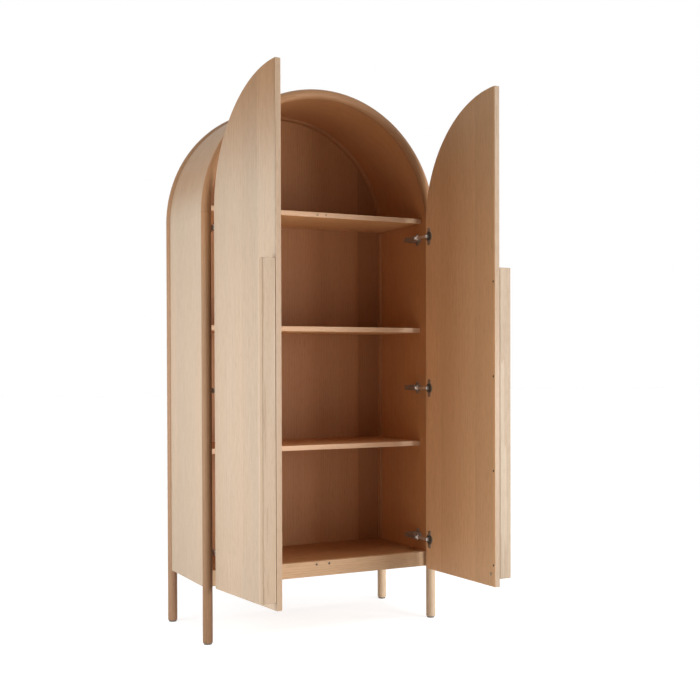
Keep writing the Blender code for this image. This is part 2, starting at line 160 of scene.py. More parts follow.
def tint_between(tree, share, first, second, blend="MIX"):
    """The colour that lies between two colours by a share."""
    node = add_node(tree, "Mix", data_type="RGBA", blend_type=blend)
    for socket, value in zip((node.inputs[0], node.inputs[6], node.inputs[7]), (share, first, second)):
        if isinstance(value, bpy.types.NodeSocket):
            tree.links.new(value, socket)
        else:
            socket.default_value = value if isinstance(value, float) else (*value, 1)
    return node.outputs[2]


def ramp(tree, value, *stops):
    """A colour ramp through (place, colour) stops."""
    node = add_node(tree, "ValToRGB", {0: value})
    while len(node.color_ramp.elements) < len(stops):
        node.color_ramp.elements.new(0.5)
    for element, (place, colour) in zip(node.color_ramp.elements, stops):
        element.position = place
        element.color = (*colour, 1) if isinstance(colour, tuple) else (colour, colour, colour, 1)
    return node.outputs[0]


def oak(name, tone, across=(1, 0, 0), along=(0, 0, 1), middle=(0, 0, 0), leaf=0.0, seed=0.0, zones=(), fades=(),
        leaf_shade=0.87, sheen=SATIN, bent=False):
    """Oak, plain sawn: growth rings run round a pith line that lies a little behind the face and wanders along the
    grain, so their lines rise in long arches. Short dark pores follow the rings, each leaf of veneer has a tone of
    its own, and the tone drifts slowly. Each of the fades is a tone, the axis along which the wood passes over to it,
    and the two places between which it does so. Each of the zones is a tone and the limits, by axis, within which the
    wood takes it. The axes are side, depth and length of the grain, and height."""
    material = bpy.data.materials.new(name)
    material.use_nodes = True
    tree = material.node_tree
    if bent:
        place = add_node(tree, "Attribute", attribute_name="grain").outputs["Vector"]
    else:
        place = add_node(tree, "TexCoord").outputs["Object"]
        across, along = Vector(across), Vector(along)
        turn = Matrix((across, along.cross(across), along)).transposed().to_euler()
        feeds = {"Vector": place, "Location": Vector(middle) + MIDDLE, "Rotation": turn}
        place = add_node(tree, "Mapping", feeds, vector_type="TEXTURE").outputs[0]
    side, depth, length = add_node(tree, "SeparateXYZ", {0: place}).outputs
    height = add_node(tree, "SeparateXYZ", {0: add_node(tree, "TexCoord").outputs["Object"]}).outputs[2]
    axes = {"side": side, "depth": depth, "length": length, "height": height}
    if leaf:
        strip = sum_of(tree, "FLOOR", sum_of(tree, "DIVIDE", side, leaf))
        draw = {"W": sum_of(tree, "ADD", strip, seed)}
        chance = add_node(tree, "TexWhiteNoise", draw, noise_dimensions="1D").outputs["Value"]
        offset = sum_of(tree, "SUBTRACT", side, sum_of(tree, "MULTIPLY", sum_of(tree, "ADD", strip, 0.5), leaf))
    else:
        chance, offset = SINGLE_BOARD_CHANCE, side
    # growth rings about the wandering pith
    shift = sum_of(tree, "MULTIPLY_ADD", chance, PITH_SPREAD, seed * 0.013 - PITH_SPREAD / 2)
    pith = add_node(tree, "CombineXYZ", {
        0: sum_of(tree, "ADD", offset, shift),
        1: sum_of(tree, "ADD", depth, PITH_BEHIND),
        2: sum_of(tree, "MULTIPLY_ADD", length, PITH_WANDER, sum_of(tree, "MULTIPLY_ADD", chance, 3.0, seed)),
    }).outputs[0]
    growth = {"Vector": pith, "Scale": RING_SCALE, "Distortion": 9.0, "Detail": 2.0, "Detail Scale": 0.7,
              "Detail Roughness": 0.55}
    rings = add_node(tree, "TexWave", growth, wave_type="RINGS", rings_direction="Z", wave_profile="SAW").outputs["Fac"]
    # pores: short fine streaks, thickest at the start of each ring
    stretched = add_node(tree, "Mapping", {"Vector": place, "Scale": (1, 1, PORE_STRETCH)}).outputs[0]
    fine = {"Vector": stretched, "Scale": PORE_SCALE, "Detail": 2.0, "Roughness": 0.6}
    pores = add_node(tree, "TexNoise", fine).outputs["Fac"]
    broad = {"Vector": stretched, "Scale": STREAK_SCALE, "Detail": 3.0, "Roughness": 0.6}
    streaks = add_node(tree, "TexNoise", broad).outputs["Fac"]
    slow = {"Vector": place, "Location": (seed, 2.3 * seed, 0), "Scale": (1, 1, DRIFT_STRETCH)}
    slow = {"Vector": add_node(tree, "Mapping", slow).outputs[0], "Scale": DRIFT_SCALE, "Detail": 2.0}
    drift = add_node(tree, "TexNoise", slow).outputs["Fac"]
    pore = ramp(tree, sum_of(tree, "MULTIPLY_ADD", rings, 0.10, pores), (0.56, 0.0), (0.70, 1.0))
    figure = sum_of(tree, "MULTIPLY_ADD", streaks, 0.55, sum_of(tree, "MULTIPLY", rings, 0.45))
    figure = ramp(tree, figure, (0.22, 0.0), (0.78, 1.0))

    def toned(pale):
        """Pale wood and ring lines of one face, with the drift towards a rosier tone, and the pores."""
        line, rosy, dark = (tuple(c * k for c, k in zip(pale, tint)) for tint in (LINE_TINT, ROSY_TINT, PORE_TINT))
        colour = tint_between(tree, figure, pale, line)
        colour = tint_between(tree, ramp(tree, drift, (0.38, 0.0), (0.66, 0.55)), colour, rosy)
        return tint_between(tree, sum_of(tree, "MULTIPLY", pore, 0.42), colour, dark)

    colour = toned(tone)
    for other, axis, first, last in fades:
        span = {0: axes[axis], 1: first, 2: last}
        share = add_node(tree, "MapRange", span, interpolation_type="SMOOTHSTEP").outputs[0]
        colour = tint_between(tree, share, colour, toned(other))
    for other, limits in zones:
        share = 1.0
        for axis, (first, last) in limits.items():
            within = sum_of(tree, "COMPARE", axes[axis], (first + last) / 2, (last - first) / 2)
            share = sum_of(tree, "MULTIPLY", within, share)
        colour = tint_between(tree, share, colour, toned(other))
    if leaf:
        shade = ramp(tree, chance, (0.0, leaf_shade), (1.0, 1.0))
        colour = tint_between(tree, 1.0, colour, shade, "MULTIPLY")
    relief = sum_of(tree, "MULTIPLY_ADD", pore, -0.8, sum_of(tree, "MULTIPLY", figure, 0.35))
    bump = add_node(tree, "Bump", {"Height": relief, "Strength": 0.28, "Distance": 0.0003}).outputs[0]
    dull = sum_of(tree, "MULTIPLY_ADD", figure, 0.10, sum_of(tree, "MULTIPLY_ADD", pore, 0.15, 0.48))
    shader = tree.nodes["Principled BSDF"]
    tree.links.new(colour, shader.inputs["Base Color"])
    tree.links.new(dull, shader.inputs["Roughness"])
    tree.links.new(bump, shader.inputs["Normal"])
    shader.inputs["Specular IOR Level"].default_value = sheen
    return material


# Each post takes its own copy of the tone, painted light and shade included.
for number, (name, tone) in enumerate(POST_LIT_AND_SHADED_TONES.items()):
    low, high = node_box(name)
    radius, middle = (high.x - low.x) / 2, (low + high) / 2
    bend = np.linspace(0, np.pi / 2, FOOT_STEPS)
    foot = np.stack([radius - FOOT_CHAMFER * (1 - np.sin(bend)), low.z + FOOT_CHAMFER * (1 - np.cos(bend))], axis=-1)
    head = np.stack([radius - JOINT_EASE * (1 - np.cos(bend)), high.z - JOINT_EASE * (1 - np.sin(bend))], axis=-1)
    straight = [[radius, low.z + 1.3 * FOOT_CHAMFER], [radius, high.z - 2 * JOINT_EASE]]
    shaft = turned(np.concatenate([foot, straight, head])) + np.array([middle.x, middle.y, 0])
    arch_tone = ARCH_TONES_WITH_PAINTED_SHADE[name.split("_")[0]]
    fades = [(arch_tone, "height", BLEND_FOOT, high.z)]
    # Painted shade: the left posts darken on the side that faces the doors.
    if name in POST_PAINTED_SHADE:
        fades = [(POST_PAINTED_SHADE[name], "side", middle.x + SHADE_FROM, middle.x + SHADE_TO),
                 (arch_tone, "height", SHADED_BLEND_FOOT, high.z)]
    # Painted shade: a rear post's inner side, in the rear inside corner, takes the darker corner tone.
    corner = {"side": sorted((0.0, math.copysign(CORNER_SIDE, low.x))), "depth": CORNER_DEPTH, "length": CORNER_HEIGHT}
    timber = oak("oak_" + name, tone, seed=3.1 * number + 1.0, zones=[(CORNER_PAINTED_SHADE, corner)], fades=fades, sheen=MATTE)
    fit_up("turned_" + name, [ring_skin(shaft)], timber, "carcass", [name])


# Glides: small discs of dark grey plastic, moulded with a rounded edge.
# One is pressed on a pin into the end grain of each post, and keeps the oak off the floor.
GLIDE_EDGE, GLIDE_RIM, GLIDE_STEPS = 0.0012, 0.0004, 6
GLIDE_SOLE = (0.55, 0.6)


def moulded(name, colour, roughness):
    """Moulded plastic: a fine spark-eroded grain that dulls and brightens the surface a little."""
    material = bpy.data.materials.new(name)
    material.use_nodes = True
    tree = material.node_tree
    place = add_node(tree, "TexCoord").outputs["Object"]
    grain = add_node(tree, "TexNoise", {"Vector": place, "Scale": 1800.0, "Detail": 2.0}).outputs["Fac"]
    cloud = add_node(tree, "TexNoise", {"Vector": place, "Scale": 90.0, "Detail": 3.0}).outputs["Fac"]
    dark = tuple(0.86 * c for c in colour)
    bump = add_node(tree, "Bump", {"Height": grain, "Strength": 0.2, "Distance": 0.0002}).outputs[0]
    shader = tree.nodes["Principled BSDF"]
    tree.links.new(ramp(tree, cloud, (0.3, dark), (0.7, colour)), shader.inputs["Base Color"])
    tree.links.new(sum_of(tree, "MULTIPLY_ADD", cloud, 0.2, roughness - 0.1), shader.inputs["Roughness"])
    tree.links.new(bump, shader.inputs["Normal"])
    return material


glide_grey = moulded("grey_glide", (0.20, 0.185, 0.17), 0.6)
for name in ("front_left_glide", "front_right_glide", "rear_left_glide", "rear_right_glide"):
    low, high = node_box(name)
    radius = (high.x - low.x) / 2
    bend = np.linspace(0, np.pi / 2, GLIDE_STEPS)
    flat = [[radius * share, low.z] for share in GLIDE_SOLE]
    edge = np.stack([radius - GLIDE_EDGE * (1 - np.sin(bend)), low.z + GLIDE_EDGE * (1 - np.cos(bend))], axis=-1)
    rim = np.stack([radius - GLIDE_RIM * (1 - np.cos(bend)), high.z - GLIDE_RIM * (1 - np.sin(bend))], axis=-1)
    disc = turned(np.concatenate([flat, edge, rim])) + np.array([(low.x + high.x) / 2, (low.y + high.y) / 2, 0])
    fit_up("moulded_" + name, [ring_skin(disc)], glide_grey, "carcass", [name])


# Arches: a round oak bar bent to a half circle over each pair of posts, its grain following the bend.
# Each end is a short straight stub, finger-jointed and glued to the post below it.
ARCH_STEPS, ARCH_ROUND_STEPS = 180, 48
# Painted shade: the quarter of the rear arch that faces down and forward into the cabinet takes the darker corner tone.
ARCH_SHADED_CORNER = {"side": (-0.02, -0.0042), "depth": (-0.02, -0.0055)}


def hoop_path(radius, spring, foot, steps=ARCH_STEPS):
    """The middle line of a hoop: up from its foot, round a half circle about the spring height, and down again. Gives
    the points' x and z, the outward direction at each, and the run along the line."""
    angle = np.linspace(0, np.pi, steps)
    out = np.stack([np.cos(angle), np.sin(angle)], axis=-1)
    line = radius * out + np.array([0, spring])
    stub = np.array([[radius, foot], [-radius, foot]])
    line = np.concatenate([stub[:1], line, stub[1:]])
    out = np.concatenate([out[:1], out, out[-1:]])
    run = np.concatenate([[0], np.cumsum(np.linalg.norm(np.diff(line, axis=0), axis=1))])
    return line, out, run


def carried(profile, line, out, run, origin_y):
    """A closed profile of (outward, depth) points carried along a hoop path; also its grain coordinates."""
    outward, depth = profile.T
    x = line[:, :1] + out[:, :1] * outward
    z = line[:, 1:] + out[:, 1:] * outward
    grid = np.stack([x, np.broadcast_to(origin_y + depth, x.shape), z], axis=-1)
    level = run[:, None] + 0 * x
    grain = np.stack([np.broadcast_to(depth, x.shape), np.broadcast_to(outward, x.shape), level], axis=-1)
    return grid, grain.reshape(-1, 3)


for number, row in enumerate(("front", "rear")):
    name = row + "_arch"
    low, high = node_box(name)
    radius = (high.y - low.y) / 2
    angle = np.linspace(0, 2 * np.pi, ARCH_ROUND_STEPS, endpoint=False)
    section = radius * np.stack([np.cos(angle), np.sin(angle)], axis=-1)
    line, out, run = hoop_path(high.x - radius, high.z - (high.x - radius) - radius, low.z)
    grid, grain = carried(section, line, out, run, (low.y + high.y) / 2)
    # Painted shade in the rear arch's inside corner.
    zones = [(CORNER_PAINTED_SHADE, ARCH_SHADED_CORNER)] if row == "rear" else []
    # The arch's tone is partly painted shade.
    timber = oak("oak_" + name, ARCH_TONES_WITH_PAINTED_SHADE[row], seed=17.0 + 5 * number, zones=zones, sheen=MATTE, bent=True)
    fit_up("bent_" + name, [ring_skin(grid)], timber, "carcass", [name], grain)


# Skin: 14 mm veneered boards that fill the hoops, two flat sides and one board bent over the top.
# They are glued and dowelled between the front and rear hoops, a little inside the posts' outer faces.
OUTSIDE_TONE = (0.640, 0.500, 0.370)
# Painted shade: the skin and the sides pass to a darker, warmer tone towards the top.
CROWN_PAINTED_SHADE = ((0.490, 0.305, 0.170), "height", 1.44, 1.62)
VENEER_LEAF, SKIN_SEED = 0.105, 28.0
SKIN_EASE, SKIN_STUB = 0.0012, 0.0003
# Painted shade: the skin's inner face takes the inside's darker, warmer tone.
INNER_FACE = [(INSIDE_PAINTED_SHADE, {"depth": (0.0055, 0.02)})]
SIDES = {"left": -1, "right": 1}


def eased_loop(width, height, ease, steps=6):
    """A rectangle about the origin with quarter-round corners, as a closed ring of points, with one more point on the
    straight at each end of a corner, so that the flat sides shade flat."""
    turn = np.linspace(0, np.pi / 2, steps) + np.arange(4)[:, None] * np.pi / 2
    corner = np.array([[1, 1], [-1, 1], [-1, -1], [1, -1]]) * (np.array([width, height]) / 2 - ease)
    ring = corner[:, None] + ease * np.stack([np.cos(turn), np.sin(turn)], axis=-1)
    room = np.minimum(ease / 3, (np.array([width, height]) - 2 * ease) / 4)
    ahead = room * np.stack([-np.sin(turn), np.cos(turn)], axis=-1)
    return np.concatenate([ring[:, :1] - ahead[:, :1], ring, ring[:, -1:] + ahead[:, -1:]], axis=1).reshape(-1, 2)


wall_low, wall_high = node_box("right_side_panel")
wall_middle = (wall_low + wall_high) / 2
low, high = node_box("arch_top_panel")
section = eased_loop(wall_high.x - wall_low.x, high.y - low.y, SKIN_EASE)
line, out, run = hoop_path(wall_middle.x, low.z + SKIN_STUB, low.z)
grid, grain = carried(section, line, out, run + low.z, (low.y + high.y) / 2)
grain[:, 1] *= -1
# Painted shade: the inner face takes the inside's darker tone, and the board grows darker towards the top.
veneer = oak("oak_arch_top", OUTSIDE_TONE, leaf=VENEER_LEAF, seed=SKIN_SEED, zones=INNER_FACE, fades=[CROWN_PAINTED_SHADE],
             bent=True)
fit_up("bent_arch_top_panel", [ring_skin(grid)], veneer, "carcass", ["arch_top_panel"], grain)
grain_start = {"left": 2 * low.z + run[-1], "right": 0.0}
# The sides take the same painted shade: the inner face's darker tone, and darker towards the top.
for hand, side in SIDES.items():
    frame["nodes"][f"{hand}_side_panel"].data.materials[0] = oak(
        f"oak_{hand}_side", OUTSIDE_TONE, across=(0, 1, 0), along=(0, 0, side),
        middle=(side * wall_middle.x, wall_middle.y, grain_start[hand]), leaf=VENEER_LEAF, seed=SKIN_SEED,
        zones=INNER_FACE, fades=[CROWN_PAINTED_SHADE])


# Back, bottom, rail and shelves: the back is a thin veneered board let in between the rear posts.
# Painted shade: on its inner face its leaves of veneer grow darker towards the right.
# The bottom and three shelves are 18 mm veneered boards on dowels, and a solid oak rail closes the front below.
RAIL_TONE = (0.63, 0.41, 0.235)
# Painted light and shade: the bottom board takes a darker tone, as shaded, and the front edges of the bottom and the
# shelves a paler one, as lit.
SHELF_EDGE_PAINTED_LIGHT, BOTTOM_PAINTED_SHADE = (0.90, 0.605, 0.39), (0.44, 0.200, 0.075)
# Painted light: the boards' undersides take a paler tone than their tops.
SHELF_LEAF, SHELF_EDGE_BAND, UNDERSIDE_PAINTED_LIGHT, UNDERSIDE = 0.13, 0.0006, (0.82, 0.460, 0.205), (-0.02, -0.0085)
BACK_LEAF, BACK_LEAVES, DEEPENING_FROM_LEAF, DEEPENING_TO_LEAF, BACK_INNER = 0.083, range(-6, 6), 2, 4, (0.002, 0.02)
# Painted shade: the back's inner face takes the inside's shaded tone, deepening leaf by leaf towards the right.
BACK_PAINTED_SHADE, BACK_DEEPER_PAINTED_SHADE = (0.570, 0.275, 0.112), (0.420, 0.187, 0.070)

back_middle = sum(node_box("back_panel"), Vector()) / 2
leaves = []
# Painted shade on the back's inner face, leaf by leaf.
for leaf in BACK_LEAVES:
    tone = tuple(np.interp(leaf, (DEEPENING_FROM_LEAF, DEEPENING_TO_LEAF), ends) for ends in zip(BACK_PAINTED_SHADE, BACK_DEEPER_PAINTED_SHADE))
    leaves.append((tone, {"depth": BACK_INNER, "side": (-(leaf + 1) * BACK_LEAF, -leaf * BACK_LEAF)}))
frame["nodes"]["back_panel"].data.materials[0] = oak(
    "oak_back", OUTSIDE_TONE, across=(-1, 0, 0), middle=(0, back_middle.y, 0), leaf=BACK_LEAF, seed=41.0,
    leaf_shade=0.85, zones=leaves)
# Painted light and shade: the boards take the inside's shaded tone, the bottom a darker one, and their undersides and
# front edges paler ones.
for number, name in enumerate(("bottom_panel", "lower_shelf", "middle_shelf", "top_shelf")):
    low, high = node_box(name)
    lit_front_edge = {"side": (-0.5, (low.y - high.y) / 2 + SHELF_EDGE_BAND)}
    frame["nodes"][name].data.materials[0] = oak(
        "oak_" + name, BOTTOM_PAINTED_SHADE if name == "bottom_panel" else INSIDE_PAINTED_SHADE, across=(0, 1, 0), along=(1, 0, 0),
        middle=tuple((low + high) / 2), leaf=SHELF_LEAF, seed=47.0 + 2 * number,
        zones=[(UNDERSIDE_PAINTED_LIGHT, {"depth": UNDERSIDE}), (SHELF_EDGE_PAINTED_LIGHT, lit_front_edge)])
rail_middle = sum(node_box("bottom_front_rail"), Vector()) / 2
frame["nodes"]["bottom_front_rail"].data.materials[0] = oak(
    "oak_rail", RAIL_TONE, across=(0, 0, 1), along=(1, 0, 0), middle=tuple(rail_middle), seed=59.0)


# Doors: 20 mm boards with oak veneer on both faces and thin oak edging, sawn to a quarter circle at the top.
# Three 35 mm holes for the hinge cups and four small ones for the handle's screws are bored from the inner face.
DOOR_BOTTOM, DOOR_SPRING, DOOR_RADIUS, DOOR_MEETING = 0.192, 1.466, 0.420, 0.0015
DOOR_FRONT, DOOR_INNER, DOOR_EASE, VENEER = 0.008, 0.028, 0.0012, 0.0008
# Each door's edging has its own copy of the tone; the right door's darker copy is painted shade.
DOOR_EDGE_LIT_AND_SHADED_TONES = {"left": (0.62, 0.430, 0.285), "right": (0.46, 0.330, 0.225)}
# Painted shade: the doors' inner faces take a warmer, more saturated tone, as in the warm shade inside the cabinet.
DOOR_INSIDE_PAINTED_SHADE = (0.82, 0.518, 0.283)
# Painted shade: the doors' outer faces pass to a darker, warmer tone towards their tops.
DOOR_TOP_PAINTED_SHADE = ((0.44, 0.240, 0.112), "height", 1.45, 1.90)
CROWN_STEPS, BORE_STEPS = 72, 48
CUP_PLACE, CUP_BORE, CUP_BORE_DEPTH = 0.033, 0.0178, 0.0118
CUP_HEIGHTS = {"low": 0.301, "middle": 0.860, "top": 1.419}
HANDLE_LOW, HANDLE_HIGH = 0.218, 1.275
SCREW_PLACE, SCREW_BORE, SCREW_BORE_DEPTH, SCREW_FROM_END, SCREW_COUNT = 0.420, 0.0040, 0.0025, 0.0475, 4
SCREW_HEIGHTS = np.linspace(HANDLE_LOW + SCREW_FROM_END, HANDLE_HIGH - SCREW_FROM_END, SCREW_COUNT).tolist()
swings = {joint["child"]: joint for joint in frame["joints"]}
pivots = {child: Vector(joint["pos_m"]) - MIDDLE for child, joint in swings.items()}
AXIS = pivots["right_door"].x


def open_angle(hand):
    """The angle about the upright by which a closed door is turned to where it stands open."""
    return -SIDES[hand] * math.radians(swings[f"{hand}_door"]["range_deg"][0])


def swung(points, hand, pivot):
    """Points given as (distance from the pivot towards the free edge, depth, height), with the door closed, turned out
    about the pivot by the angle at which the door stands open."""
    angle = open_angle(hand)
    across, depth, height = np.moveaxis(np.asarray(points, float), -1, 0)
    across = -SIDES[hand] * across
    x = pivot[0] + across * math.cos(angle) - depth * math.sin(angle)
    y = pivot[1] + across * math.sin(angle) + depth * math.cos(angle)
    return np.stack([x, y, height], axis=-1)


def eased_rings(outline, low, high, ease, steps=5):
    """An outline made thick, with quarter-round edges: rings of (u, v, thickness) that start drawn in by the ease,
    swell to the full outline, run straight up and draw in again."""
    edge = np.roll(outline, -1, axis=0) - outline
    edge = edge / np.linalg.norm(edge, axis=1, keepdims=True)
    normal = np.stack([edge[:, 1], -edge[:, 0]], axis=-1)
    before = np.roll(normal, 1, axis=0)
    mitre = (normal + before) / (1 + (normal * before).sum(axis=1, keepdims=True))
    following = np.roll(outline, -1, axis=0)
    mitre = mitre * np.sign(np.sum(outline[:, 0] * following[:, 1] - outline[:, 1] * following[:, 0]))
    bend = np.linspace(0, np.pi / 2, steps)
    inset = np.append(1 - np.sin(bend), 0)
    rise = np.append(1 - np.cos(bend), 1.3)
    inset = ease * np.concatenate([inset, inset[::-1]])
    level = np.concatenate([low + ease * rise, high - ease * rise[::-1]])
    ring = outline - inset[:, None, None] * mitre
    return np.concatenate([ring, np.broadcast_to(level[:, None, None], (*ring.shape[:2], 1))], axis=-1)


def circle(middle, radius, steps=BORE_STEPS):
    """A ring of points."""
    angle = np.linspace(0, 2 * np.pi, steps, endpoint=False)
    return np.asarray(middle) + radius * np.stack([np.cos(angle), np.sin(angle)], axis=-1)


def flat_face(ring, holes, level):
    """A flat face inside a ring with round holes left out, cut into triangles."""
    loops = [ring, *[circle(middle, radius) for middle, radius in holes]]
    starts = np.cumsum([0, *[len(loop) for loop in loops]])
    points = np.concatenate(loops)
    ties = np.concatenate([np.stack([np.arange(first, last), np.roll(np.arange(first, last), -1)], axis=-1)
                           for first, last in zip(starts[:-1], starts[1:])])
    found = delaunay_2d_cdt(points.tolist(), ties.tolist(), [], 1, 1e-7)
    points, faces = np.array(found[0]), np.array(found[2])
    centre = points[faces].mean(axis=1)
    keep = np.ones(len(faces), bool)
    for middle, radius in holes:
        keep &= np.linalg.norm(centre - np.asarray(middle), axis=1) > 0.985 * radius
    return np.column_stack([points, np.full(len(points), level)]), faces[keep].tolist()


def door_skins():
    """A door, closed: its eased edge all round, its two faces, and its blind holes, as (distance, height, depth)."""
    angle = np.linspace(0, np.arccos(DOOR_MEETING / DOOR_RADIUS), CROWN_STEPS)
    crown = np.stack([AXIS - DOOR_RADIUS * np.cos(angle), DOOR_SPRING + DOOR_RADIUS * np.sin(angle)], axis=-1)
    free = AXIS - DOOR_MEETING
    outline = np.concatenate([[[AXIS - DOOR_RADIUS, DOOR_BOTTOM]], crown, [[free, DOOR_BOTTOM]]])
    rings = eased_rings(outline, DOOR_FRONT, DOOR_INNER, DOOR_EASE)
    bores = [((CUP_PLACE, height), CUP_BORE, CUP_BORE_DEPTH) for height in CUP_HEIGHTS.values()]
    bores += [((SCREW_PLACE, height), SCREW_BORE, SCREW_BORE_DEPTH) for height in SCREW_HEIGHTS]
    skins = [ring_skin(rings, caps=(False, False)), flat_face(rings[0, :, :2], [], DOOR_FRONT)]
    skins.append(flat_face(rings[-1, :, :2], [bore[:2] for bore in bores], DOOR_INNER))
    for middle, radius, deep in bores:
        wall = np.broadcast_to(circle(middle, radius), (2, BORE_STEPS, 2))
        level = np.array([DOOR_INNER, DOOR_INNER - deep])[:, None, None]
        bore = np.concatenate([wall, np.broadcast_to(level, (2, BORE_STEPS, 1))], axis=-1)
        skins.append(ring_skin(bore, caps=(False, True)))
    return skins


for hand, side in SIDES.items():
    pivot, angle = pivots[f"{hand}_door"], open_angle(hand)
    # Painted shade: the right door's edging takes its darker copy.
    zones = [(DOOR_EDGE_LIT_AND_SHADED_TONES[hand], {"depth": (DOOR_FRONT + VENEER, DOOR_INNER - VENEER)}),
             # Painted shade: the inner face takes the warmer tone.
             (DOOR_INSIDE_PAINTED_SHADE, {"depth": (DOOR_INNER - VENEER, 0.1)})]
    # Painted shade: the outer face darkens towards the top.
    veneer = oak(f"oak_{hand}_door", OUTSIDE_TONE, across=(math.cos(angle), math.sin(angle), 0),
                 middle=(pivot[0], pivot[1], 0), leaf=VENEER_LEAF, seed=71.0 + 4 * side, fades=[DOOR_TOP_PAINTED_SHADE],
                 zones=zones)
    skins = [(swung(points[:, [0, 2, 1]], hand, pivot), faces) for points, faces in door_skins()]
    fit_up(f"veneered_{hand}_door", skins, veneer, f"{hand}_door", [f"{hand}_door"], crisp=30)


# Handles: a plain oak fin along each door's free edge, flush with the edge, planed square with softened arrises.
# Four screws from inside the door hold it.
HANDLE_LEFT, HANDLE_RIGHT, HANDLE_FRONT, HANDLE_REAR = 0.4105, 0.4295, -0.0398, 0.0078
HANDLE_EASE, HANDLE_END_EASE = 0.004, 0.0015
# Each handle has its own copy of the oak's tone; the right handle's darker copy is painted shade.
HANDLE_LIT_AND_SHADED_TONES = {"left": (0.54, 0.400, 0.275), "right": (0.45, 0.345, 0.245)}

for hand, side in SIDES.items():
    pivot, angle = pivots[f"{hand}_door"], open_angle(hand)
    bar = eased_loop(HANDLE_RIGHT - HANDLE_LEFT, HANDLE_REAR - HANDLE_FRONT, HANDLE_EASE)
    bar = bar + np.array([HANDLE_LEFT + HANDLE_RIGHT, HANDLE_FRONT + HANDLE_REAR]) / 2
    rings = swung(eased_rings(bar, HANDLE_LOW, HANDLE_HIGH, HANDLE_END_EASE), hand, pivot)
    # Painted shade: the right handle takes its darker copy.
    timber = oak(f"oak_{hand}_handle", HANDLE_LIT_AND_SHADED_TONES[hand], across=(math.cos(angle), math.sin(angle), 0),
                 middle=(pivot[0], pivot[1], 0), seed=83.0 + side)
    fit_up(f"planed_{hand}_handle", [ring_skin(rings)], timber, f"{hand}_door", [f"{hand}_handle"])


# Handle screws: blackened steel screws with a low domed head and a cross recess.
# They are driven from the door's inner face, through the door and into the handle.
SCREW_HEAD = {"radius": 0.0037, "rise": 0.0004, "skirt": 0.0021}
HEAD_STEPS, HEAD_RINGS = 64, 16
RECESS_HALF, RECESS_SLOPE, RECESS_REACH, RECESS_END, RECESS_DEPTH, HEAD_FALL = 0.14, 0.08, 0.58, 0.1, 0.42, 0.7


def metal(name, colour, roughness, brushed=(1, 1, 1)):
    """Plated steel: fine rubbed lines and cloudy patches change the gloss, and a faint ripple breaks reflections."""
    material = bpy.data.materials.new(name)
    material.use_nodes = True
    tree = material.node_tree
    place = add_node(tree, "TexCoord").outputs["Object"]
    lines = add_node(tree, "Mapping", {"Vector": place, "Scale": brushed}).outputs[0]
    rub = add_node(tree, "TexNoise", {"Vector": lines, "Scale": 2600.0, "Detail": 2.0}).outputs["Fac"]
    cloud = add_node(tree, "TexNoise", {"Vector": place, "Scale": 140.0, "Detail": 4.0}).outputs["Fac"]
    dark = tuple(0.82 * c for c in colour)
    gloss = sum_of(tree, "MULTIPLY_ADD", cloud, 0.18, sum_of(tree, "MULTIPLY_ADD", rub, 0.12, roughness - 0.15))
    bump = add_node(tree, "Bump", {"Height": rub, "Strength": 0.12, "Distance": 0.0001}).outputs[0]
    shader = tree.nodes["Principled BSDF"]
    tree.links.new(ramp(tree, cloud, (0.3, dark), (0.72, colour)), shader.inputs["Base Color"])
    tree.links.new(gloss, shader.inputs["Roughness"])
    tree.links.new(bump, shader.inputs["Normal"])
    shader.inputs["Metallic"].default_value = 1.0
    return material


def cross_head(radius, rise, skirt):
    """A low domed screw head with a cross recess: height falls with the square of the distance from the middle, and is
    lowered where a point lies within either arm of the cross. Points are (u, v, height)."""
    angle = np.linspace(0, 2 * np.pi, HEAD_STEPS, endpoint=False)
    reach = radius * np.concatenate([[0.02], np.linspace(0.06, 0.94, HEAD_RINGS), [0.985, 1.0]])[:, None]
    u, v = reach * np.cos(angle), reach * np.sin(angle)
    near, far = np.minimum(abs(u), abs(v)), np.maximum(abs(u), abs(v))
    arm = np.clip((RECESS_HALF * radius - near) / (RECESS_SLOPE * radius) + 0.5, 0, 1)
    arm = arm * np.clip((RECESS_REACH * radius - far) / (RECESS_END * radius) + 0.5, 0, 1)
    height = rise * (1 - HEAD_FALL * (reach / radius) ** 2) - RECESS_DEPTH * radius * arm
    grid = np.stack([u, v, height], axis=-1)
    foot = np.stack([u[-1], v[-1], np.full(HEAD_STEPS, -skirt)], axis=-1)
    return np.concatenate([grid, foot[None]])


black_steel = metal("blackened_steel", (0.11, 0.095, 0.085), 0.42)
for hand in SIDES:
    for number, height in enumerate(SCREW_HEIGHTS):
        head = cross_head(**SCREW_HEAD)[..., [0, 2, 1]] + np.array([SCREW_PLACE, DOOR_INNER, height])
        head = swung(head, hand, pivots[f"{hand}_door"])
        name = f"{hand}_handle_screw_{number + 1}"
        fit_up("driven_" + name, [ring_skin(head)], black_steel, f"{hand}_door", [name])


# Hinge cups: pressed steel cups, nickel plated, pushed into the 35 mm holes of each door.
# A flange with a wing above and below lies on the door and takes two small screws.
CUP_RADIUS, CUP_INNER, CUP_FLOOR, CUP_FOOT = 0.0175, 0.0155, 0.0185, 0.0165
CUP_CENTRE, CUP_DISH, CUP_FILLET, CUP_LIP, CUP_STEPS = 0.0004, 0.006, 0.0018, 0.0006, 6
FLANGE_TOP, FLANGE_FOOT, FLANGE_ROUND, FLANGE_ARRIS, FLANGE_STEPS = 0.0298, 0.0283, 0.0195, 0.0005, 128
WING_HALF, WING_REACH, WING_SCREW, WING_SCREW_LIFT = 0.0085, 0.032, 0.0252, 0.0001
WING_SCREW_HEAD = {"radius": 0.0034, "rise": 0.0007, "skirt": 0.0006}
CHEEK_PLACES, CHEEK_MIDDLE = ((-0.0072, -0.0052), (0.0052, 0.0072)), (-0.0095, 0.0272)
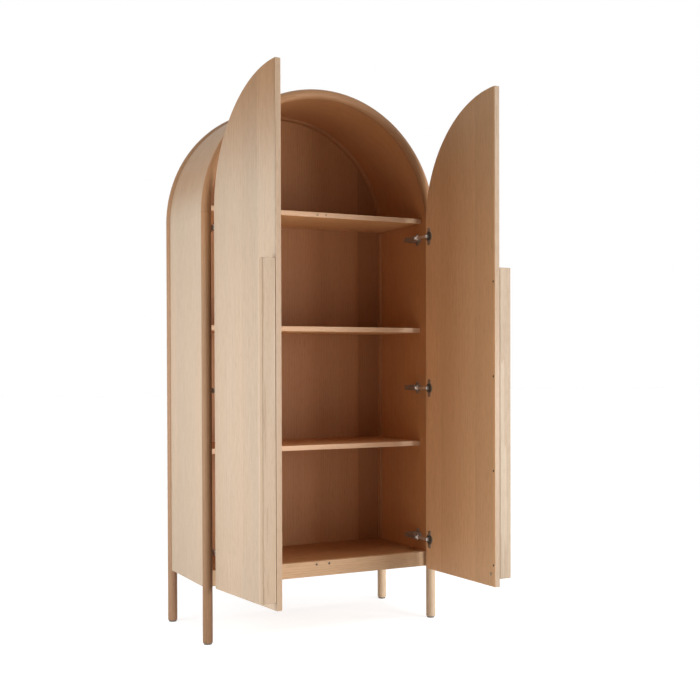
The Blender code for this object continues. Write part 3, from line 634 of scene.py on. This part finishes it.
CHEEK_LENGTH, CHEEK_DEPTH, CHEEK_ROUND, CHEEK_EASE = 0.011, 0.0142, 0.002, 0.0004
BAR_POWER = 9


def star_outline(angle, *bars):
    """Distance from the middle to the edge of rounded bars laid over each other: the farthest of their edges, each a
    rounded rectangle written as a high-power ellipse of two half sizes."""
    edges = [((abs(np.cos(angle)) / wide) ** BAR_POWER + (abs(np.sin(angle)) / tall) ** BAR_POWER) ** (-1 / BAR_POWER)
             for wide, tall in bars]
    return np.max(edges, axis=0)


def cup_rings():
    """A flanged cup as rings about its middle: floor, rounded inner wall, lip, flange out to its winged outline, back
    under the flange, and down the outer wall. Points are (u, v, depth)."""
    angle = np.linspace(0, 2 * np.pi, FLANGE_STEPS, endpoint=False)
    bend = np.linspace(0, np.pi / 2, CUP_STEPS)[:, None]
    edge = np.maximum(star_outline(angle, (WING_HALF, WING_REACH)), FLANGE_ROUND)
    one = np.ones_like(angle)
    reach = np.concatenate([
        [CUP_CENTRE * one, CUP_DISH * one],
        (CUP_INNER - CUP_FILLET + CUP_FILLET * np.sin(bend)) * one,
        (CUP_INNER + CUP_LIP * (1 - np.cos(bend))) * one,
        edge - FLANGE_ARRIS + FLANGE_ARRIS * np.sin(bend),
        [edge, CUP_RADIUS * one, CUP_RADIUS * one, CUP_CENTRE * one],
    ])
    depth = np.concatenate([
        [CUP_FLOOR * one, CUP_FLOOR * one],
        (CUP_FLOOR + CUP_FILLET * (1 - np.cos(bend))) * one,
        (FLANGE_TOP - CUP_LIP + CUP_LIP * np.sin(bend)) * one,
        (FLANGE_TOP - FLANGE_ARRIS * (1 - np.cos(bend))) * one,
        [FLANGE_FOOT * one, FLANGE_FOOT * one, CUP_FOOT * one, CUP_FOOT * one],
    ])
    return np.stack([reach * np.cos(angle), reach * np.sin(angle), depth], axis=-1)


# Painted shade and painted reflection: the cups and bases take a darker, browner copy of the nickel than the links, as
# of the brown shade inside.
nickel = metal("nickel_plate_with_painted_shade", (0.42, 0.365, 0.310), 0.48, brushed=(1, 0.15, 1))
for hand in SIDES:
    for level, height in CUP_HEIGHTS.items():
        parts = [cup_rings()]
        for way in (-1, 1):
            parts.append(cross_head(**WING_SCREW_HEAD) + np.array([0, way * WING_SCREW, FLANGE_TOP + WING_SCREW_LIFT]))
        for first, last in CHEEK_PLACES:
            cheek = eased_loop(CHEEK_LENGTH, CHEEK_DEPTH, CHEEK_ROUND) + np.array(CHEEK_MIDDLE)
            parts.append(eased_rings(cheek, first, last, CHEEK_EASE)[..., [0, 2, 1]])
        placed = [grid[..., [0, 2, 1]] + np.array([CUP_PLACE, 0, height]) for grid in parts]
        skins = [ring_skin(swung(grid, hand, pivots[f"{hand}_door"])) for grid in placed]
        name = f"{hand}_{level}_hinge_cup"
        fit_up("pressed_" + name, skins, nickel, f"{hand}_door", [name])


# Hinge bases: a die-cast plate with two wings, screwed to the side wall, a spacer block, and the arm clipped on it.
# The arm is folded steel with two adjusting screws, and its two ears hold the rivet that the link turns on.
PLATE_FACE, PLATE_TOP, PLATE_EASE, PLATE_STEPS = 0.4337, 0.4309, 0.0008, 128
PLATE_BARS = ((0.0258, 0.0095), (0.0095, 0.0218))
PLATE_SCREW, PLATE_SCREW_HEAD = 0.0165, {"radius": 0.0035, "rise": 0.0006, "skirt": 0.0012}
BLOCK_TOP, BLOCK_MIDDLE_Y, BLOCK_SUNK = 0.4055, 0.099, 0.001
BLOCK_LENGTH, BLOCK_HEIGHT, BLOCK_ROUND, BLOCK_EASE = 0.044, 0.0215, 0.004, 0.0012
ARM_TOP, ARM_FRONT_Y, ARM_REAR_Y, ARM_HALF, ARM_SUNK = 0.3892, 0.0465, 0.1243, 0.0085, 0.0002
ARM_ROUND, ARM_EASE = 0.0035, 0.0016
ARM_SCREWS, ARM_SCREW_HEAD = (0.0640, 0.1060), {"radius": 0.0042, "rise": 0.0007, "skirt": 0.0010}
PIN_X, PIN_Y = 0.394, 0.036
EAR_WIDTH, EAR_LENGTH, EAR_ROUND, EAR_BACK, EAR_INNER, EAR_OUTER, EAR_EASE = (
    0.0098, 0.0205, 0.0047, 0.0052, 0.0053, 0.0085, 0.0006)
RIVET_HEAD, RIVET_HALF, RIVET_DOME, RIVET_SHANK, SHANK_HALF, RIVET_STEPS = 0.0022, 0.0088, 0.0004, 0.0016, 0.0083, 32

for hand, side in SIDES.items():
    for level, height in CUP_HEIGHTS.items():
        angle = np.linspace(0, 2 * np.pi, PLATE_STEPS, endpoint=False)
        plate = star_outline(angle, *PLATE_BARS)[:, None] * np.stack([np.cos(angle), np.sin(angle)], axis=-1)
        plate = eased_rings(plate, PLATE_TOP, PLATE_FACE, PLATE_EASE)
        block = eased_loop(BLOCK_LENGTH, BLOCK_HEIGHT, BLOCK_ROUND)
        block = eased_rings(block, BLOCK_TOP, PLATE_TOP + BLOCK_SUNK, BLOCK_EASE)
        parts = [grid[..., [2, 0, 1]] + np.array([0, BLOCK_MIDDLE_Y, 0]) for grid in (plate, block)]
        arm = eased_loop(ARM_REAR_Y - ARM_FRONT_Y, 2 * ARM_HALF, ARM_ROUND)
        arm = eased_rings(arm, ARM_TOP, BLOCK_TOP + ARM_SUNK, ARM_EASE)
        parts.append(arm[..., [2, 0, 1]] + np.array([0, (ARM_FRONT_Y + ARM_REAR_Y) / 2, 0]))
        facing_in = np.array([-1, 1, 1])
        for way in (-1, 1):
            ear = eased_loop(EAR_WIDTH, EAR_LENGTH, EAR_ROUND) + np.array([PIN_X, PIN_Y + EAR_BACK])
            parts.append(eased_rings(ear, *sorted((way * EAR_INNER, way * EAR_OUTER)), EAR_EASE))
            screw = cross_head(**PLATE_SCREW_HEAD)[..., [2, 0, 1]] * facing_in
            parts.append(screw + np.array([PLATE_TOP, BLOCK_MIDDLE_Y, way * PLATE_SCREW]))
        for place in ARM_SCREWS:
            screw = cross_head(**ARM_SCREW_HEAD)[..., [2, 0, 1]] * facing_in
            parts.append(screw + np.array([ARM_TOP, place, 0]))
        bend = np.linspace(0, np.pi / 2, 5)
        dome = np.stack([RIVET_HEAD * np.sin(bend), RIVET_HALF - RIVET_DOME * (1 - np.cos(bend))], axis=-1)
        shank = [[RIVET_SHANK, -SHANK_HALF], [RIVET_SHANK, SHANK_HALF]]
        rivet = turned(np.concatenate([dome * [1, -1], shank, dome[::-1]]), RIVET_STEPS)
        parts.append(rivet + np.array([PIN_X, PIN_Y, 0]))
        skins = [ring_skin(grid * np.array([side, 1, 1]) + np.array([0, 0, height])) for grid in parts]
        name = f"{hand}_{level}_hinge_base"
        fit_up("screwed_" + name, skins, nickel, "carcass", [name])


# Hinge links: a flat strap of bright nickel-plated steel for each hinge, with its end turned in towards the door.
# Its eye turns on the rivet of the arm, and its nose reaches into the cup.
LINK_LENGTH, LINK_HALF, LINK_EYE, LINK_TALL, LINK_EASE = 0.065, 0.0025, 0.0045, 0.0047, 0.0005
LINK_NOSE, LINK_NOSE_WIDTH, LINK_ELBOW, LINK_THROAT = 0.007, 0.006, 0.0035, 0.0015
EYE_STEPS, ELBOW_STEPS = 28, 7

bright_nickel = metal("bright_nickel", (0.78, 0.740, 0.690), 0.42)
for hand in SIDES:
    for level, height in CUP_HEIGHTS.items():
        opening = math.asin(LINK_HALF / LINK_EYE)
        angle = np.linspace(opening, 2 * np.pi - opening, EYE_STEPS)
        eye = LINK_EYE * np.stack([np.cos(angle), np.sin(angle)], axis=-1)
        bend = np.linspace(np.pi / 2, 0, ELBOW_STEPS)
        turn = np.stack([np.cos(bend), np.sin(bend)], axis=-1)
        elbow = np.array([LINK_LENGTH - LINK_ELBOW, LINK_HALF - LINK_ELBOW]) + LINK_ELBOW * turn
        inner = LINK_LENGTH - LINK_NOSE_WIDTH
        throat = np.array([inner - LINK_THROAT, -LINK_HALF - LINK_THROAT]) + LINK_THROAT * turn
        nose = np.array([[inner, -LINK_NOSE], [LINK_LENGTH, -LINK_NOSE]])
        strap = eased_rings(np.concatenate([eye, throat, nose, elbow[::-1]]), -LINK_TALL, LINK_TALL, LINK_EASE)
        name = f"{hand}_{level}_hinge_link"
        strap = swung(strap + np.array([0, 0, height]), hand, pivots[name])
        fit_up("folded_" + name, [ring_skin(strap)], bright_nickel, name, [name])


# Catches: a round magnet in a brown plastic sleeve, pressed into a hole in the rail, for each door.
# A bronzed steel strike on the door's inner face meets it, held by a screw.
# Two brown plugs fill holes in the front edge of the top shelf, near its middle.
MAGNET_RADIUS, MAGNET_FACE, MAGNET_END, MAGNET_PLACE = 0.004, 0.0303, 0.0403, 0.025
RIM_EASE, RIM_STEPS, FACE_SUNK, MAGNET_STEPS = 0.0004, 5, 0.0005, 40
STRIKE_RADIUS, STRIKE_TOP, STRIKE_FOOT, STRIKE_PLACE, CATCH_HEIGHT = 0.006, 0.0295, 0.0283, 0.406, 0.2345
STRIKE_EASE, STRIKE_SUNK, STRIKE_HOLE, STRIKE_RISE, STRIKE_STEPS = 0.0005, 0.0003, 0.0030, 0.0034, 48
STRIKE_SCREW_HEAD = {"radius": 0.0027, "rise": 0.0004, "skirt": 0.0003}
PLUG_RADIUS, PLUG_PROUD, PLUG_DEEP, PLUG_PLACES = 0.0038, 0.0003, 0.002, (0.000, 0.034)


def magnet_rings(radius, face, end):
    """A magnet turned about the third axis: a face sunk a little inside the sleeve's rim, a rounded edge and a straight
    side down to its end."""
    bend = np.linspace(0, np.pi / 2, RIM_STEPS)
    rim = np.stack([radius - RIM_EASE * (1 - np.sin(bend)), face + RIM_EASE * (1 - np.cos(bend))], axis=-1)
    sunk = [[0.0002, face + FACE_SUNK], [0.65 * radius, face + FACE_SUNK], [0.7 * radius, face]]
    return turned(np.concatenate([sunk, rim, [[radius, end]]]), MAGNET_STEPS)


sleeve_brown = moulded("brown_sleeve", (0.115, 0.070, 0.045), 0.5)
bronzed = metal("bronzed_steel", (0.40, 0.285, 0.180), 0.48)
for hand, side in SIDES.items():
    magnet = magnet_rings(MAGNET_RADIUS, MAGNET_FACE, MAGNET_END)
    magnet = magnet[..., [0, 2, 1]] + np.array([side * MAGNET_PLACE, 0, CATCH_HEIGHT])
    fit_up(f"pressed_{hand}_magnet", [ring_skin(magnet)], sleeve_brown, "carcass", [f"{hand}_magnet"])
    bend = np.linspace(0, np.pi / 2, RIM_STEPS)
    edge = np.stack([STRIKE_RADIUS - STRIKE_EASE * (1 - np.sin(bend)), STRIKE_TOP - STRIKE_EASE * (1 - np.cos(bend))],
                    axis=-1)
    sink = [[STRIKE_HOLE, STRIKE_TOP - STRIKE_SUNK], [STRIKE_RISE, STRIKE_TOP]]
    plate = turned(np.concatenate([sink, edge, [[STRIKE_RADIUS, STRIKE_FOOT]]]), STRIKE_STEPS)
    screw = cross_head(**STRIKE_SCREW_HEAD) + np.array([0, 0, STRIKE_TOP - STRIKE_SUNK])
    placed = [grid[..., [0, 2, 1]] + np.array([STRIKE_PLACE, 0, CATCH_HEIGHT]) for grid in (plate, screw)]
    skins = [ring_skin(swung(grid, hand, pivots[f"{hand}_door"])) for grid in placed]
    fit_up(f"screwed_{hand}_strike", skins, bronzed, f"{hand}_door", [f"{hand}_strike"])

plug_brown = moulded("brown_plug", (0.045, 0.026, 0.016), 0.75)
shelf_low, shelf_high = node_box("top_shelf")
for number, place in enumerate(PLUG_PLACES):
    face = shelf_low.y - PLUG_PROUD
    plug = magnet_rings(PLUG_RADIUS, face, face + PLUG_DEEP)
    plug = plug[..., [0, 2, 1]] + np.array([place, 0, (shelf_low.z + shelf_high.z) / 2])
    fit_up(f"shelf_plug_{number + 1}", [ring_skin(plug)], plug_brown, "carcass")


# Studio: a white floor that keeps a soft shadow, a large soft box at the left, another at the right of the camera,
# soft light from above and from the right, and white all round.
# The camera stands to the left of the front, at half the cabinet's height.
FLOOR_HALF, FLOOR_STEPS = 30, 9
FLOOR_GREY, FLOOR_GLOW, FLOOR_SHOWN = 0.86, 1.755, 0.45
CAMERA_PLACE = (-1.7116, -3.5682, 0.9491)
CAMERA_YAW, CAMERA_PITCH, CAMERA_ROLL = (math.radians(degrees) for degrees in (-26.849, -0.678, -0.166))
PICTURE_SIDE, FOCAL_PIXELS, MIDDLE_ROW, SENSOR = 700, 1115.0, 377.4, 36.0


def seen(tree):
    """1 for a ray that the camera, a reflection or a clear piece sends, and 0 for light."""
    path = add_node(tree, "LightPath").outputs
    shown = sum_of(tree, "MAXIMUM", path["Is Camera Ray"], path["Is Glossy Ray"])
    return sum_of(tree, "MAXIMUM", shown, path["Is Transmission Ray"])


floor_mesh = bpy.data.meshes.new("studio_floor")
along_floor = np.linspace(-FLOOR_HALF, FLOOR_HALF, FLOOR_STEPS)
u, v = np.meshgrid(along_floor, along_floor, indexing="ij")
corners = np.arange(FLOOR_STEPS ** 2).reshape(FLOOR_STEPS, FLOOR_STEPS)
faces = np.stack([corners[:-1, :-1], corners[1:, :-1], corners[1:, 1:], corners[:-1, 1:]], axis=-1).reshape(-1, 4)
floor_mesh.from_pydata(np.stack([u, v, 0 * u], axis=-1).reshape(-1, 3).tolist(), [], faces.tolist())
floor = bpy.data.objects.new("studio_floor", floor_mesh)
bpy.context.scene.collection.objects.link(floor)
paper = bpy.data.materials.new("white_paper")
paper.use_nodes = True
tree = paper.node_tree
tree.nodes.remove(tree.nodes["Principled BSDF"])
mixed = add_node(tree, "MixShader", {
    0: sum_of(tree, "MULTIPLY", seen(tree), FLOOR_SHOWN),
    1: add_node(tree, "BsdfDiffuse", {"Color": (FLOOR_GREY, FLOOR_GREY, FLOOR_GREY, 1)}).outputs[0],
    2: add_node(tree, "Emission", {"Color": (1, 1, 1, 1), "Strength": FLOOR_GLOW}).outputs[0],
})
tree.links.new(mixed.outputs[0], tree.nodes["Material Output"].inputs["Surface"])
floor_mesh.materials.append(paper)

world = bpy.data.worlds.new("white_studio")
world.use_nodes = True
tree = world.node_tree
tree.links.new(seen(tree), tree.nodes["Background"].inputs["Strength"])
tree.nodes["Background"].inputs["Color"].default_value = (1, 1, 1, 1)
bpy.context.scene.world = world

for name, towards, strength, spread in (
    ("light_from_above", (0.0, 0.087, -0.996), 1.1, 40),
    ("light_from_right", (-0.8138, 0.4698, -0.342), 1.0, 20),
):
    lamp = bpy.data.lights.new(name, "SUN")
    lamp.energy = strength
    lamp.angle = math.radians(spread)
    lamp_object = bpy.data.objects.new(name, lamp)
    lamp_object.rotation_euler = Vector(towards).to_track_quat("-Z", "Y").to_euler()
    bpy.context.scene.collection.objects.link(lamp_object)

for name, place, towards, width, height, watts in (
    ("left_softbox", (-2.0, -0.2, 0.95), (1.0, 0.05, 0.0), 1.6, 1.5, 30.0),
    ("right_softbox", (1.6, -2.2, 0.90), (-0.6, 1.0, 0.0), 1.2, 1.6, 53.0),
):
    lamp = bpy.data.lights.new(name, "AREA")
    lamp.shape = "RECTANGLE"
    lamp.size, lamp.size_y = width, height
    lamp.energy = watts
    lamp_object = bpy.data.objects.new(name, lamp)
    lamp_object.location = Vector(place) + MIDDLE
    lamp_object.rotation_euler = Vector(towards).to_track_quat("-Z", "Y").to_euler()
    bpy.context.scene.collection.objects.link(lamp_object)

level = Vector((-math.sin(CAMERA_YAW), math.cos(CAMERA_YAW), 0))
forward = level * math.cos(CAMERA_PITCH) + Vector((0, 0, math.sin(CAMERA_PITCH)))
right = Vector((math.cos(CAMERA_YAW), math.sin(CAMERA_YAW), 0))
up = right.cross(forward)
right, up = (right * math.cos(CAMERA_ROLL) + up * math.sin(CAMERA_ROLL),
             up * math.cos(CAMERA_ROLL) - right * math.sin(CAMERA_ROLL))
lens = bpy.data.cameras.new("studio_camera")
lens.sensor_width = SENSOR
lens.lens = SENSOR * FOCAL_PIXELS / PICTURE_SIDE
lens.shift_y = (MIDDLE_ROW - PICTURE_SIDE / 2) / PICTURE_SIDE
camera = bpy.data.objects.new("studio_camera", lens)
turn = Matrix((right, up, -forward)).transposed().to_4x4()
camera.matrix_world = Matrix.Translation(Vector(CAMERA_PLACE) + MIDDLE) @ turn
bpy.context.scene.collection.objects.link(camera)
bpy.context.scene.camera = camera
bpy.context.scene.view_settings.view_transform = "Standard"
